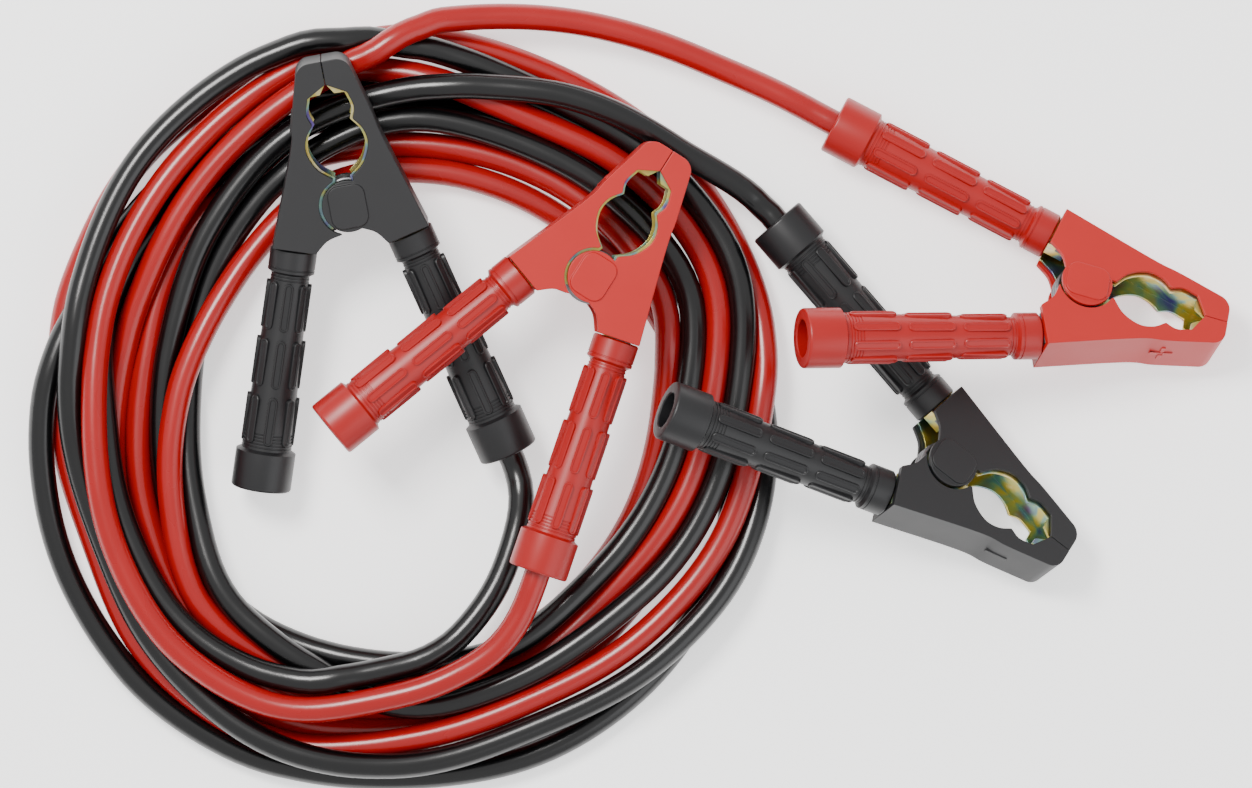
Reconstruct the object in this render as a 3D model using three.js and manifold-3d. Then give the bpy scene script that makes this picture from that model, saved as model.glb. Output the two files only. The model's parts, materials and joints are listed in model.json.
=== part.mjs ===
// Jumper cable set: a red and a black cable wound together in one loose coil, with a spring clamp on
// each of the four ends. Millimetres, +Z up, seen from above as it lies on a floor.
import * as THREE from 'three';
import { mergeVertices } from 'three/addons/utils/BufferGeometryUtils.js';
import Module from 'manifold-3d';

// Fits
const FIT = 0.3; // clearance between two pieces that touch
const JAW_FIT = 0.3; // gap on the closing line between the two jaws
const LOBE_FIT = 1.4; // running gap round the pivot lobe

// Cable
const CABLE_D = 12;
const COIL_HEIGHT = 27; // two layers of cable, with the humps where turns cross
const COIL_EDGE = 5; // rounding of the coil's edges

// Clamp, seen from its side: pivot at the origin, +x to the tip, +y to the free half
const TIP_X = 68; // pivot to tip
const CLAMP_T = 25; // thickness across the covers
const COVER_WALL = 2;
const STEEL_T = 1.5;
const NOSE_R = 7;
const NOSE_HALF = 13; // half height of the blunt nose
const MID_X = 30; // where the outer edge bends
const MID_HALF = 21.6;
const NECK_HALF = 10; // half width of the cover where it meets the grip
const LOBE_R = 12;
const CAP_LENGTH = 20;
const CAP_WIDTH = 17;
const CAP_RISE = 1;
const CAP_CORNER = 5;
const RIM = 1.2; // how far the steel jaw stands proud of its cover's inner edge
const TEETH = 3;
const TOOTH_DEPTH = 1.6;
const PIN_R = 4;
const EAR_R = 9;

// Jaw opening, half outline from the lobe to the tip
const THROAT = [
  [13.5, 4.5],
  [19, 10.8],
  [27, 14.2],
  [34, 13.2],
];
const THROAT_CUSP = [39.5, 9.4];
const MOUTH = [
  [45, 11],
  [52, 9.2],
];
const BITE_X = 57; // where the closing line starts

// Handles: where each grip's axis starts, and its angle to the clamp's axis
const CABLE_HANDLE = { x: -18, y: 25, angle: 13.5 };
const FREE_HANDLE = { x: -16, y: 28, angle: 18.5 };
const GRIP_LENGTH = 113;
const GRIP_RING_LENGTH = 11;
const GRIP_COLLAR_LENGTH = 17.6;
const GRIP_WALL = 1.2; // at the waist behind the ring
const GRIP_RING_RISE = 1.2; // ring above the waist
const GRIP_TAIL_R = 12.4; // in front of the collar
const GRIP_COLLAR_RISE = 1.4; // collar above the tail
const GRIP_STEP = 1.2; // length of the slopes between ring, body and collar
const CABLE_ENTRY = 14; // depth of cable inside the collar
const TANG_WELD = 0.3; // how far the tang runs into the channel's web
const TANG_HALF_T = 4.5;
const TANG_LENGTH = 42;
const TANG_ROOT = 9;
const TANG_PLAY = 0.5; // between the tang's corners and the grip's bore

// Torsion spring
const WIRE_D = 2.4;
const SPRING_TURNS = 3.5;
const SPRING_R = 11.6; // to the middle of the wire
const LEG_X = -16; // where the legs bear on the tangs

const COLOURS = {
  red: { cover: 0xc8261c, cable: 0xd31a12 },
  black: { cover: 0x303032, cable: 0x121214 },
};

// Moves the layout so that the box round the four clamps is centred on the origin
const LAYOUT_SHIFT = [-1.3, -4.2, 0];

// Places of the clamps: pivot, heading of the tip, and tilts in degrees. A clamp with no z lies on the
// floor. A roll over 90 degrees means that it lies with its other side up.
const CLAMPS = [
  { name: 'black_left', colour: 'black', x: -174.1, y: 57, z: 39.6, heading: 100.5, pitch: 10, roll: 0 },
  { name: 'red_left', colour: 'red', x: -62.4, y: 23, z: 46, heading: 57.8, pitch: -1, roll: 4.5 },
  { name: 'black_right', colour: 'black', x: 98.7, y: -65.8, heading: -37.5, pitch: -7.5, roll: 150 },
  { name: 'red_right', colour: 'red', x: 161.9, y: 15.2, heading: -16, pitch: -7.5, roll: 150 },
];

// Coil: centre in plan, then outer and inner radius at each clock station, from +x round towards +y
const COIL_CENTRE = [-148.4, -38.2];
const COIL_OUTER = [175, 173, 175, 177, 187, 181, 178, 174, 173, 176, 178, 177, 176, 176, 172, 174];
const COIL_INNER = [116, 122, 116, 106, 104, 106, 104, 102, 99, 101, 106, 112, 114, 110, 110, 117];

// Uncoiled stretches, from beyond the grip's collar to inside the coil's outline
const LEADS = {
  black_left: [
    [-94.5, -77, 13],
    [-98.5, -98, 12],
    [-105, -117, 13],
    [-116, -134, 15],
    [-128, -146, 18],
    [-142, -154, 20],
  ],
  red_left: [
    [-92.5, -127, 42],
    [-101, -142, 36],
    [-112, -152, 27],
    [-124, -159, 17],
  ],
  black_right: [
    [8, 62.5, 13],
    [-10, 73, 8],
    [-30, 84, 7],
    [-52, 96.5, 9],
  ],
  red_right: [
    [33, 102.5, 13],
    [16, 111, 8],
    [-4, 119.5, 6.3],
    [-24, 128, 6.3],
    [-44, 134.5, 6.3],
    [-62, 139, 6.3],
    [-82, 142, 7],
    [-102, 143, 8],
    [-126, 142, 9],
  ],
};

const wasm = await Module();
wasm.setup();

function toSolid(geometry) {
  const bare = geometry.clone();
  bare.deleteAttribute('normal');
  bare.deleteAttribute('uv');
  const merged = mergeVertices(bare, 1e-4);
  return new wasm.Manifold(
    new wasm.Mesh({
      numProp: 3,
      vertProperties: new Float32Array(merged.attributes.position.array),
      triVerts: new Uint32Array(merged.index.array),
    }),
  );
}

function toGeometry(solid) {
  const mesh = solid.getMesh();
  const geometry = new THREE.BufferGeometry();
  geometry.setAttribute('position', new THREE.BufferAttribute(new Float32Array(mesh.vertProperties), 3));
  geometry.setIndex(new THREE.BufferAttribute(new Uint32Array(mesh.triVerts), 1));
  return geometry.toNonIndexed();
}

function material(color, roughness, metalness) {
  return new THREE.MeshStandardMaterial({ color, roughness, metalness });
}

function piece(name, geometry, finish) {
  geometry.computeVertexNormals();
  const mesh = new THREE.Mesh(geometry, finish);
  mesh.name = name;
  return mesh;
}

// A flat outline swept through a thickness, centred on z = 0
function slab(points, thickness) {
  const shape = new THREE.Shape(points.map(([x, y]) => new THREE.Vector2(x, y)));
  const geometry = new THREE.ExtrudeGeometry(shape, { depth: thickness, bevelEnabled: false });
  return geometry.translate(0, 0, -thickness / 2);
}

function arc(cx, cy, r, fromDeg, toDeg, steps) {
  return Array.from({ length: steps + 1 }, (_, i) => {
    const a = THREE.MathUtils.degToRad(fromDeg + ((toDeg - fromDeg) * i) / steps);
    return [cx + r * Math.cos(a), cy + r * Math.sin(a)];
  });
}

function polar(r, deg) {
  const a = THREE.MathUtils.degToRad(deg);
  return [r * Math.cos(a), r * Math.sin(a)];
}

function smooth(points, count) {
  const curve = new THREE.SplineCurve(points.map(([x, y]) => new THREE.Vector2(x, y)));
  return curve.getPoints(count).map((p) => [p.x, p.y]);
}

function drum(radius, length, sides = 20) {
  return new THREE.CylinderGeometry(radius, radius, length, sides).rotateX(Math.PI / 2);
}

// Directions of a handle: along its axis away from the jaws, and outwards across it
function handleFrame(handle) {
  const a = THREE.MathUtils.degToRad(handle.angle);
  return {
    along: [-Math.cos(a), Math.sin(a)],
    across: [Math.sin(a), Math.cos(a)],
  };
}

function handlePoint(handle, along, across) {
  const f = handleFrame(handle);
  return [
    handle.x + f.along[0] * along + f.across[0] * across,
    handle.y + f.along[1] * along + f.across[1] * across,
  ];
}

// Outer edge of a half from the closing line at the tip back to the neck, moved in by an inset
function outerEdge(handle, inset) {
  const noseX = TIP_X - NOSE_R;
  const noseY = NOSE_HALF - NOSE_R;
  const nose = arc(noseX, noseY, NOSE_R - inset, 0, 70, 4);
  return [
    [TIP_X - inset, JAW_FIT / 2],
    ...nose,
    [MID_X, MID_HALF - inset],
    handlePoint(handle, 0, NECK_HALF - inset),
  ];
}

// Inner edge of a jaw, from the lobe to the closing line, moved into the mouth by a rim
function jawEdge(rim) {
  const lift = ([x, y]) => [x, Math.max(y - rim, JAW_FIT / 2)];
  return [...smooth([...THROAT, THROAT_CUSP], 8), ...smooth([THROAT_CUSP, ...MOUTH], 4).slice(1)].map(lift);
}

// Teeth between the mouth and the tip
function bite(depth) {
  const from = BITE_X - TOOTH_DEPTH * TEETH;
  const pitch = (TIP_X - FIT - COVER_WALL - BITE_X) / TEETH;
  const points = [[from, JAW_FIT / 2 + TOOTH_DEPTH * 2]];
  for (let i = 0; i < TEETH; i += 1) {
    points.push([BITE_X + pitch * i, JAW_FIT / 2]);
    points.push([BITE_X + pitch * (i + 0.5), JAW_FIT / 2 + depth]);
  }
  return points;
}

// Inner edge behind the pivot: the arch between the two handles
function yoke(handle, inset, from) {
  const corner = handlePoint(handle, 0, -NECK_HALF + inset);
  return smooth([corner, [(corner[0] + from[0]) / 2 + 1.5, (corner[1] + from[1]) / 2 + 0.5], from], 5);
}

function coverSolid(handle, hasLobe) {
  const reach = LOBE_R + (hasLobe ? 0 : LOBE_FIT);
  const back = polar(reach, 158);
  const round = hasLobe ? arc(0, 0, LOBE_R, 158, 382, 14) : arc(0, 0, reach, 158, 22, 9);
  const outline = [
    ...outerEdge(handle, 0),
    ...yoke(handle, 0, back),
    ...round.slice(1),
    ...jawEdge(0),
    [BITE_X, JAW_FIT / 2],
  ];
  let solid = toSolid(slab(outline, CLAMP_T));
  if (hasLobe) {
    const cap = new THREE.Shape();
    const [w, h, r] = [CAP_LENGTH / 2, CAP_WIDTH / 2, CAP_CORNER];
    cap.absarc(w - r, h - r, r, 0, Math.PI / 2);
    cap.absarc(r - w, h - r, r, Math.PI / 2, Math.PI);
    cap.absarc(r - w, r - h, r, Math.PI, Math.PI * 1.5);
    cap.absarc(w - r, r - h, r, Math.PI * 1.5, Math.PI * 2);
    const points = cap.getPoints(4).map((p) => [p.x, p.y]);
    solid = solid.add(toSolid(slab(points, CLAMP_T + 2 * CAP_RISE)));
  }
  const hollowHalf = (hasLobe ? fixedSteelHalf() : freeSteelHalf()) + FIT;
  const edge = outerEdge(handle, COVER_WALL);
  const rear = handlePoint(handle, GRIP_LENGTH / 2, NECK_HALF - COVER_WALL);
  const deep = [
    [TIP_X - COVER_WALL, -TIP_X],
    ...edge.slice(1),
    rear,
    [rear[0], -TIP_X],
  ];
  return solid.subtract(toSolid(slab(deep, 2 * hollowHalf)));
}

function fixedSteelHalf() {
  return CLAMP_T / 2 - COVER_WALL - FIT;
}

function freeSteelHalf() {
  return fixedSteelHalf() - STEEL_T - FIT;
}

function steelSolid(handle, isFixed) {
  const half = isFixed ? fixedSteelHalf() : freeSteelHalf();
  const inset = COVER_WALL + FIT;
  const earStart = polar(EAR_R, 150);
  const outline = [
    ...outerEdge(handle, inset),
    ...yoke(handle, inset, earStart),
    ...arc(0, 0, EAR_R, 150, 390, 12).slice(1),
    ...jawEdge(RIM),
    ...bite(TOOTH_DEPTH),
  ];
  const web = outerEdge(handle, inset + STEEL_T);
  const rear = handlePoint(handle, GRIP_LENGTH / 2, NECK_HALF - inset - STEEL_T);
  const hollow = [
    [TIP_X - inset - STEEL_T, -TIP_X],
    ...web.slice(1),
    rear,
    [rear[0], -TIP_X],
  ];
  const channel = toSolid(slab(outline, 2 * half)).subtract(toSolid(slab(hollow, 2 * (half - STEEL_T))));
  const tang = toSolid(
    slab(
      [
        handlePoint(handle, -TANG_ROOT, -tangHalf()),
        handlePoint(handle, -TANG_ROOT, tangHalf()),
        handlePoint(handle, TANG_LENGTH, tangHalf()),
        handlePoint(handle, TANG_LENGTH, -tangHalf()),
      ].reverse(),
      2 * TANG_HALF_T,
    ),
  );
  return channel.add(tang).subtract(toSolid(drum(PIN_R + FIT, CLAMP_T)));
}

// Half width of the tang, from the channel that it is welded into
function tangHalf() {
  return NECK_HALF - COVER_WALL - FIT - STEEL_T + TANG_WELD;
}

// Grip sleeve round the tang, turned about its own axis and then laid along its handle
function gripGeometry(handle, hasCable) {
  const collar = GRIP_LENGTH - GRIP_COLLAR_LENGTH;
  const bore = Math.hypot(tangHalf(), TANG_HALF_T) + TANG_PLAY;
  const waistR = bore + GRIP_WALL;
  const ringR = waistR + GRIP_RING_RISE;
  const collarR = GRIP_TAIL_R + GRIP_COLLAR_RISE;
  const entry = hasCable ? CABLE_D / 2 + FIT : bore;
  const profile = [
    [bore, FIT],
    [ringR - 1, FIT],
    [ringR, FIT + 1],
    [ringR, GRIP_RING_LENGTH],
    [waistR, GRIP_RING_LENGTH + GRIP_STEP],
    [GRIP_TAIL_R, collar - GRIP_STEP],
    [collarR, collar],
    [collarR, GRIP_LENGTH - 1],
    [collarR - 1, GRIP_LENGTH],
    [entry, GRIP_LENGTH],
  ];
  if (hasCable) {
    profile.push([entry, collar]);
    profile.push([bore, collar - GRIP_STEP]);
  }
  profile.push(profile[0]);
  const turned = new THREE.LatheGeometry(
    profile.map(([r, y]) => new THREE.Vector2(r, y)),
    20,
  );
  const solid = toGeometry(toSolid(turned));
  solid.rotateZ(Math.PI / 2 - THREE.MathUtils.degToRad(handle.angle));
  return solid.translate(handle.x, handle.y, 0);
}

function springGeometry() {
  const ring = SPRING_R;
  const rise = freeSteelHalf() - STEEL_T - FIT - WIRE_D / 2;
  const leg = (handle) => {
    const reach = (handle.x - LEG_X) / Math.cos(THREE.MathUtils.degToRad(handle.angle));
    const [, y] = handlePoint(handle, reach, -tangHalf());
    return y - WIRE_D / 2 - FIT - 0.4;
  };
  const freeLeg = leg(FREE_HANDLE);
  const points = [new THREE.Vector3(LEG_X, freeLeg, rise)];
  points.push(new THREE.Vector3(LEG_X / 2, (freeLeg + ring) / 2, rise));
  const steps = Math.round(SPRING_TURNS * 9);
  for (let i = 0; i <= steps; i += 1) {
    const a = Math.PI / 2 - (i / steps) * SPRING_TURNS * 2 * Math.PI;
    points.push(new THREE.Vector3(ring * Math.cos(a), ring * Math.sin(a), rise * (1 - (2 * i) / steps)));
  }
  const fixedLeg = -leg(CABLE_HANDLE);
  points.push(new THREE.Vector3(LEG_X / 2, (fixedLeg - ring) / 2, -rise));
  points.push(new THREE.Vector3(LEG_X, fixedLeg, -rise));
  return tube(points, WIRE_D / 2, 6, points.length + 6);
}

function tube(points, radius, sides, steps) {
  const section = new THREE.Shape(
    Array.from({ length: sides }, (_, i) => {
      const a = (2 * Math.PI * i) / sides;
      return new THREE.Vector2(radius * Math.cos(a), radius * Math.sin(a));
    }),
  );
  const path = new THREE.CatmullRomCurve3(points, false, 'centripetal');
  return new THREE.ExtrudeGeometry(section, { steps, extrudePath: path });
}

function mirrored(solid) {
  return solid.mirror([0, 1, 0]);
}

const STEEL = material(0xc9b46a, 0.35, 0.9);
const SPRING_STEEL = material(0x7d7f82, 0.4, 0.9);

function buildClamp(spec) {
  const plastic = material(COLOURS[spec.colour].cover, 0.5, 0);
  const clamp = new THREE.Group();
  const add = (part, geometry, finish) => clamp.add(piece(`${spec.name}_${part}`, geometry, finish));
  add('cable_cover', toGeometry(mirrored(coverSolid(CABLE_HANDLE, true))), plastic);
  add('cable_jaw', toGeometry(mirrored(steelSolid(CABLE_HANDLE, true))), STEEL);
  add('cable_grip', toGeometry(mirrored(toSolid(gripGeometry(CABLE_HANDLE, true)))), plastic);
  add('free_cover', toGeometry(coverSolid(FREE_HANDLE, false)), plastic);
  add('free_jaw', toGeometry(steelSolid(FREE_HANDLE, false)), STEEL);
  add('free_grip', gripGeometry(FREE_HANDLE, false), plastic);
  add('pivot_pin', drum(PIN_R, 2 * fixedSteelHalf()), STEEL);
  add('spring', springGeometry(), SPRING_STEEL);
  const [roll, pitch, heading] = [spec.roll, -spec.pitch, spec.heading].map(THREE.MathUtils.degToRad);
  clamp.rotation.set(roll, pitch, heading, 'ZYX');
  clamp.position.set(spec.x, spec.y, spec.z ?? 0);
  clamp.updateMatrixWorld(true);
  if (spec.z === undefined) {
    clamp.position.z = -new THREE.Box3().setFromObject(clamp, true).min.z;
    clamp.updateMatrixWorld(true);
  }
  return clamp;
}

// Coil: a ring through the clock stations, with rounded edges, grown all round by a clearance
function coilGeometry(grow) {
  const closed = (radii, sign) => {
    const points = radii.map((r, i) => {
      const a = (2 * Math.PI * i) / radii.length;
      const reach = r + sign * (grow - COIL_EDGE);
      return new THREE.Vector3(
        COIL_CENTRE[0] + reach * Math.cos(a),
        COIL_CENTRE[1] + reach * Math.sin(a),
        0,
      );
    });
    const curve = new THREE.CatmullRomCurve3(points, true, 'centripetal');
    return curve.getPoints(radii.length * 3).slice(0, -1);
  };
  const shape = new THREE.Shape(closed(COIL_OUTER, 1).map((p) => new THREE.Vector2(p.x, p.y)));
  shape.holes.push(new THREE.Path(closed(COIL_INNER, -1).map((p) => new THREE.Vector2(p.x, p.y))));
  const ring = new THREE.ExtrudeGeometry(shape, {
    depth: COIL_HEIGHT + 2 * grow - 2 * COIL_EDGE,
    bevelThickness: COIL_EDGE,
    bevelSize: COIL_EDGE,
    bevelSegments: 2,
  });
  return ring.translate(0, 0, COIL_EDGE - grow);
}

// Uncoiled stretch: out of the collar along the handle's axis, then by its points into the coil
function leadSolid(clamp, points) {
  const inside = handlePoint(CABLE_HANDLE, GRIP_LENGTH - CABLE_ENTRY, 0);
  const mouth = handlePoint(CABLE_HANDLE, GRIP_LENGTH, 0);
  const clear = handlePoint(CABLE_HANDLE, GRIP_LENGTH + CABLE_D / 2, 0);
  const start = [inside, mouth, clear].map(([x, y]) => new THREE.Vector3(x, -y, 0).applyMatrix4(clamp.matrix));
  const path = [...start, ...points.map((p) => new THREE.Vector3(...p))];
  const solid = toSolid(tube(path, CABLE_D / 2, 10, points.length * 2 + 4));
  return solid.subtract(toSolid(coilGeometry(FIT)));
}

const set = new THREE.Group();
set.name = 'jumper_cable_set';
set.position.set(...LAYOUT_SHIFT);
set.add(piece('coil', coilGeometry(0), material(COLOURS.red.cable, 0.35, 0)));
for (const spec of CLAMPS) {
  const clamp = buildClamp(spec);
  set.add(clamp);
  const finish = material(COLOURS[spec.colour].cable, 0.35, 0);
  set.add(piece(`${spec.name}_lead`, toGeometry(leadSolid(clamp, LEADS[spec.name])), finish));
}

export default set;
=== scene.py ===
"""Jumper cable set: a red and a black cable in one loose coil, with an insulated clamp on each end."""

import json
import math

import bmesh
import bpy
import numpy as np
from bpy.props import FloatProperty, FloatVectorProperty, IntProperty, PointerProperty
from mathutils import Matrix, Vector


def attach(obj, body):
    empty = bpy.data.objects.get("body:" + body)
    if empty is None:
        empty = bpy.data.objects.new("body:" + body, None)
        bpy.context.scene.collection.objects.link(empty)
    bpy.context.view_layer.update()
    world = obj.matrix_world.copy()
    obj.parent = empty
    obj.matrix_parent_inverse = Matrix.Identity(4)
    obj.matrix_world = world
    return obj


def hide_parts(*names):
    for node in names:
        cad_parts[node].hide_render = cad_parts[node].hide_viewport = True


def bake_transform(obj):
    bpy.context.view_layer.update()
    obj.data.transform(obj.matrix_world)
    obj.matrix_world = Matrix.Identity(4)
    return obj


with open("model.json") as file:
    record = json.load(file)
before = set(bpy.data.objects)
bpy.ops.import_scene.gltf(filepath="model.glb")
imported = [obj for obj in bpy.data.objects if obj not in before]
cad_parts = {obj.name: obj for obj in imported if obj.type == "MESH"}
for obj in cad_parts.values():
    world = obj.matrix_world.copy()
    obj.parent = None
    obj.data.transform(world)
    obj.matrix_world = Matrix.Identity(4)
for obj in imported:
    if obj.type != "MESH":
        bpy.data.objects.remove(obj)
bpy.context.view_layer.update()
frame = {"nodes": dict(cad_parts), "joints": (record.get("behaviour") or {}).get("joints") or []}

bl_info = {
    "name": "Jumper cable set",
    "version": (1, 0, 0),
    "blender": (4, 5, 0),
    "location": "3D View > Sidebar > Jumper cables",
    "description": "Two booster cables in a loose coil, with four insulated spring clamps",
    "category": "Object",
}

MM = 0.001
BASE_BODY = "cable_set"

# Clamps: colour, heading of the tip, then pitch and roll, in degrees. A roll over 90 lies other side up.
CLAMPS = {
    "black_left": ("black", 100.5, 10.0, 0.0),
    "red_left": ("red", 57.8, -1.0, 4.5),
    "black_right": ("black", -37.5, -7.5, 150.0),
    "red_right": ("red", -16.0, -7.5, 150.0),
}

# Clamp outline in millimetres: pivot at the origin, +x to the tip, +y to the free half
THROAT = [(13.5, 4.5), (19, 10.8), (27, 14.2), (34, 13.2)]
THROAT_CUSP = (39.5, 9.4)
MOUTH = [(45, 11), (52, 9.2)]

# Handles: where each grip's axis starts in millimetres, and its angle to the clamp's axis in degrees
HANDLES = {"cable": (-18.0, 25.0, 13.5), "free": (-16.0, 28.0, 18.5)}
SIDES = {"cable": -1, "free": 1}

# The whole layout's place against the frame, in millimetres
LAYOUT_SHIFT = Vector((-1.3, -4.2, 0))
COIL_CENTRE = Vector((-148.4, -38.2, 0))

# Uncoiled stretches, from beyond each grip's collar to the coil, in millimetres
LEADS = {
    "black_left": [(-94.5, -77, 13), (-98.5, -98, 12), (-105, -117, 13), (-116, -134, 15), (-128, -146, 18),
                   (-142, -154, 20)],
    "red_left": [(-92.5, -127, 42), (-101, -142, 36), (-112, -152, 27), (-124, -159, 17)],
    "black_right": [(8, 62.5, 13), (-10, 73, 8), (-30, 84, 7), (-52, 96.5, 9)],
    "red_right": [(33, 102.5, 13), (16, 111, 8), (-4, 119.5, 6.3), (-24, 128, 6.3), (-44, 134.5, 6.3),
                  (-62, 139, 6.3), (-82, 142, 7), (-102, 143, 8), (-126, 142, 9)],
}

# Turns of each cable from its right-hand clamp to its left-hand one, as read. Every turn gives its
# first clock station, then for each station the radius in reading units and how many cables lie under it.
STATIONS = 16
READING_UNIT = 0.46  # millimetres: a 12 mm cable is 26 units wide

# Settling of the turns
LEVEL_PITCH = 0.8  # rise of a level at the start, in diameters
LEAD_LEVEL = 3.0  # level that marks an uncoiled stretch, whose heights are given
LEAD_LIMIT = 2.9  # levels above this belong to an uncoiled stretch
LEVEL_GAP = 0.25  # least difference of level that puts one cable over another
OVERLAP_REACH = 0.85  # two cables cross where they are closer in plan, in diameters
CONTACT_REACH = 1.4  # pairs that are watched for contact, in diameters
SAME_CABLE_SKIP = 10  # points along one cable that never count as touching
LAY_ROUNDS = 5
EASE_ROUNDS = 20
EVEN_ROUNDS = 60
EVEN_STEPS = (0.5, -0.52)  # smoothing and its counter step, which keeps the turns from shrinking
PAIR_INTERVAL = 10  # rounds between two searches for pairs
CALM_SHARE = 0.8  # share of the rounds after which nothing sinks any more
SINK = 0.06  # millimetres in each round
RETURN_PULL = 0.04
CALM_PULL = 0.01
LONG_REACH = 4
LONG_STIFFNESS = 0.2
SHORT_STIFFNESS = 0.3
BLACK_TURNS = [
    (3, [343, 319, 299, 270, 250, 252, 262, 270, 272, 266, 264, 257, 270],
        [2, 2, 1.5, 1.2, 1.2, 1, 0.3, 0.2, 0.1, 0.2, 1, 1.1, 1.2]),
    (0, [285, 310, 299, 291, 292, 272, 246, 226, 220, 234, 263, 275, 296, 288, 287, 309],
        [1.2, 1.1, 1.1, 1.1, 1.1, 1.2, 1.2, 0.5, 0.5, 1, 1, 1, 1.2, 1.2, 1.2, 1.2]),
    (0, [332, 361, 357, 345, 360, 371, 365, 347, 335, 327, 343, 356, 352, 341, 353, 365],
        [1.2, 1.2, 1, 1, 1.5, 1.5, 1.5, 1.5, 1.5, 1, 1.1, 1.2, 1.2, 1.2, 1.2, 1.1]),
    (0, [361, 340, 335, 334, 326, 335, 326, 336, 359, 371, 374, 369, 364, 368, 363, 350],
        [0.3, 0, 0, 0, 0, 0, 0, 0, 0.6, 1, 0.3, 0.3, 0.3, 0.5, 0.3, 0.1]),
    (0, [318, 306, 312, 310, 302, 310, 306, 303, 291, 299, 308, 291],
        [0, 0, 0, 0, 0, 0, 0, 0.2, 1.6, 1.6, 1.6, 2]),
]
RED_TURNS = [
    (4, [378, 332, 308, 295, 292, 300, 315, 325, 311, 303, 292, 286],
        [3, 2, 1.3, 1.2, 0.2, 0.2, 0.2, 0.3, 0.8, 0.2, 0.1, 0.1]),
    (0, [284, 270, 251, 244, 243, 238, 222, 220, 232, 253, 286, 285, 276, 266, 258, 258],
        [0, 0, 1, 1, 1, 1, 1, 1.5, 1.5, 1.6, 1.5, 0.4, 0.2, 0.1, 0.1, 0.1]),
    (0, [264, 281, 277, 268, 263, 270, 281, 276, 269, 280, 298, 302, 294, 282, 277, 286],
        [0.6, 1.1, 1.1, 1.2, 1.2, 0.5, 1.6, 1.5, 1.5, 1.4, 0.2, 0.1, 0.1, 0.3, 0.8, 1.1]),
    (0, [306, 337, 330, 316, 334, 364, 364, 350, 346, 341, 363, 362, 329, 315, 325, 339],
        [1.1, 1.1, 1.1, 1, 1, 0, 0, 0, 0, 0.5, 1, 0.8, 1, 1, 1.1, 1.1]),
    (0, [343, 357, 366, 364, 367, 349, 332, 319, 310, 320, 329, 321, 283],
        [0.1, 0.1, 0.3, 1, 0.5, 1.5, 1.5, 1.6, 2, 2, 2, 2, 2]),
]


def linear(hex_colour):
    """An sRGB hex colour as linear red, green and blue."""
    channels = [int(hex_colour[i : i + 2], 16) / 255 for i in (1, 3, 5)]
    return tuple(c / 12.92 if c <= 0.04045 else ((c + 0.055) / 1.055) ** 2.4 for c in channels)


def length(title, text, millimetres):
    """A length property, given in millimetres and kept in metres."""
    return FloatProperty(name=title, description=text, default=millimetres * MM, unit="LENGTH", precision=5)


def colour(title, text, hex_colour):
    """A colour property, given as an sRGB hex value."""
    shade_of = linear(hex_colour)
    return FloatVectorProperty(name=title, description=text, default=shade_of, subtype="COLOR", size=3)


class CableSizes(bpy.types.PropertyGroup):
    """Sizes of the two cables."""

    diameter: length("Diameter", "Outer diameter of the sheath", 12)
    total: length("Length", "Length of each cable from clamp to clamp", 4500)
    entry: length("Entry", "Depth of cable inside each grip's collar", 14)
    step: length("Step", "Distance between two points of the route", 6)
    low_side: length("Low side", "Where the coil starts to lie low under a swinging handle, along x", -45)
    low_top: length("Low top", "Highest that the coil rises on its low side", 25)
    sides: IntProperty(name="Sides", description="Facets round the sheath", default=24)
    rounds: IntProperty(name="Rounds", description="Rounds in which the turns settle", default=260)


class ClampSizes(bpy.types.PropertyGroup):
    """Sizes of a clamp's covers and steel jaws."""

    fit: length("Fit", "Clearance between two pieces that touch", 0.3)
    lobe_fit: length("Lobe fit", "Running gap round the pivot lobe", 1.4)
    tip: length("Tip", "Pivot to tip", 68)
    thickness: length("Thickness", "Across the covers", 25)
    wall: length("Wall", "Wall of the moulded covers", 2)
    steel: length("Steel", "Thickness of the pressed jaw sheet", 1.5)
    nose_radius: length("Nose radius", "Rounding of the blunt nose", 7)
    nose_half: length("Nose half height", "Half height of the nose", 13)
    mid_x: length("Bend", "Where the outer edge bends", 30)
    mid_half: length("Bend half height", "Half height where the outer edge bends", 21.6)
    neck_half: length("Neck half width", "Half width of the cover where it meets the grip", 10)
    lobe_radius: length("Lobe radius", "Round lobe over the pivot", 12)
    cap_length: length("Cap length", "Raised cap over the pivot", 20)
    cap_width: length("Cap width", "Raised cap over the pivot", 17)
    cap_corner: length("Cap corner", "Corner radius of the cap", 5)
    cap_rise: length("Cap rise", "How far the cap stands up", 1)
    rim: length("Rim", "How far the jaw stands proud of its cover's inner edge", 1.2)
    bite_x: length("Bite", "Where the closing line starts", 57)
    teeth: IntProperty(name="Teeth", description="Teeth between the mouth and the tip", default=3)
    tooth_depth: length("Tooth depth", "Depth of the teeth", 1.6)
    ear_radius: length("Ear radius", "Steel ears on the pivot", 9)
    pin_radius: length("Pin radius", "Pivot pin", 4)
    tang_half_width: length("Tang half width", "Half width of the tang in the grip", 6.5)
    tang_half_depth: length("Tang half depth", "Half depth of the tang in the grip", 4.5)
    tang_root: length("Tang root", "How far the tang reaches into the channel", 9)
    tang_length: length("Tang length", "How far the tang reaches into the grip", 42)
    cover_round: length("Cover rounding", "Rounding of the moulded edges", 0.9)
    steel_round: length("Steel rounding", "Rounding of the pressed edges", 0.25)
    mark_length: length("Mark length", "Length of the raised polarity mark's bars", 11)
    mark_width: length("Mark width", "Width of the raised polarity mark's bars", 2)
    mark_rise: length("Mark rise", "Height of the raised polarity mark", 0.5)
    mark_x: length("Mark place", "Where the mark's middle is along the clamp", 42)


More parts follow.
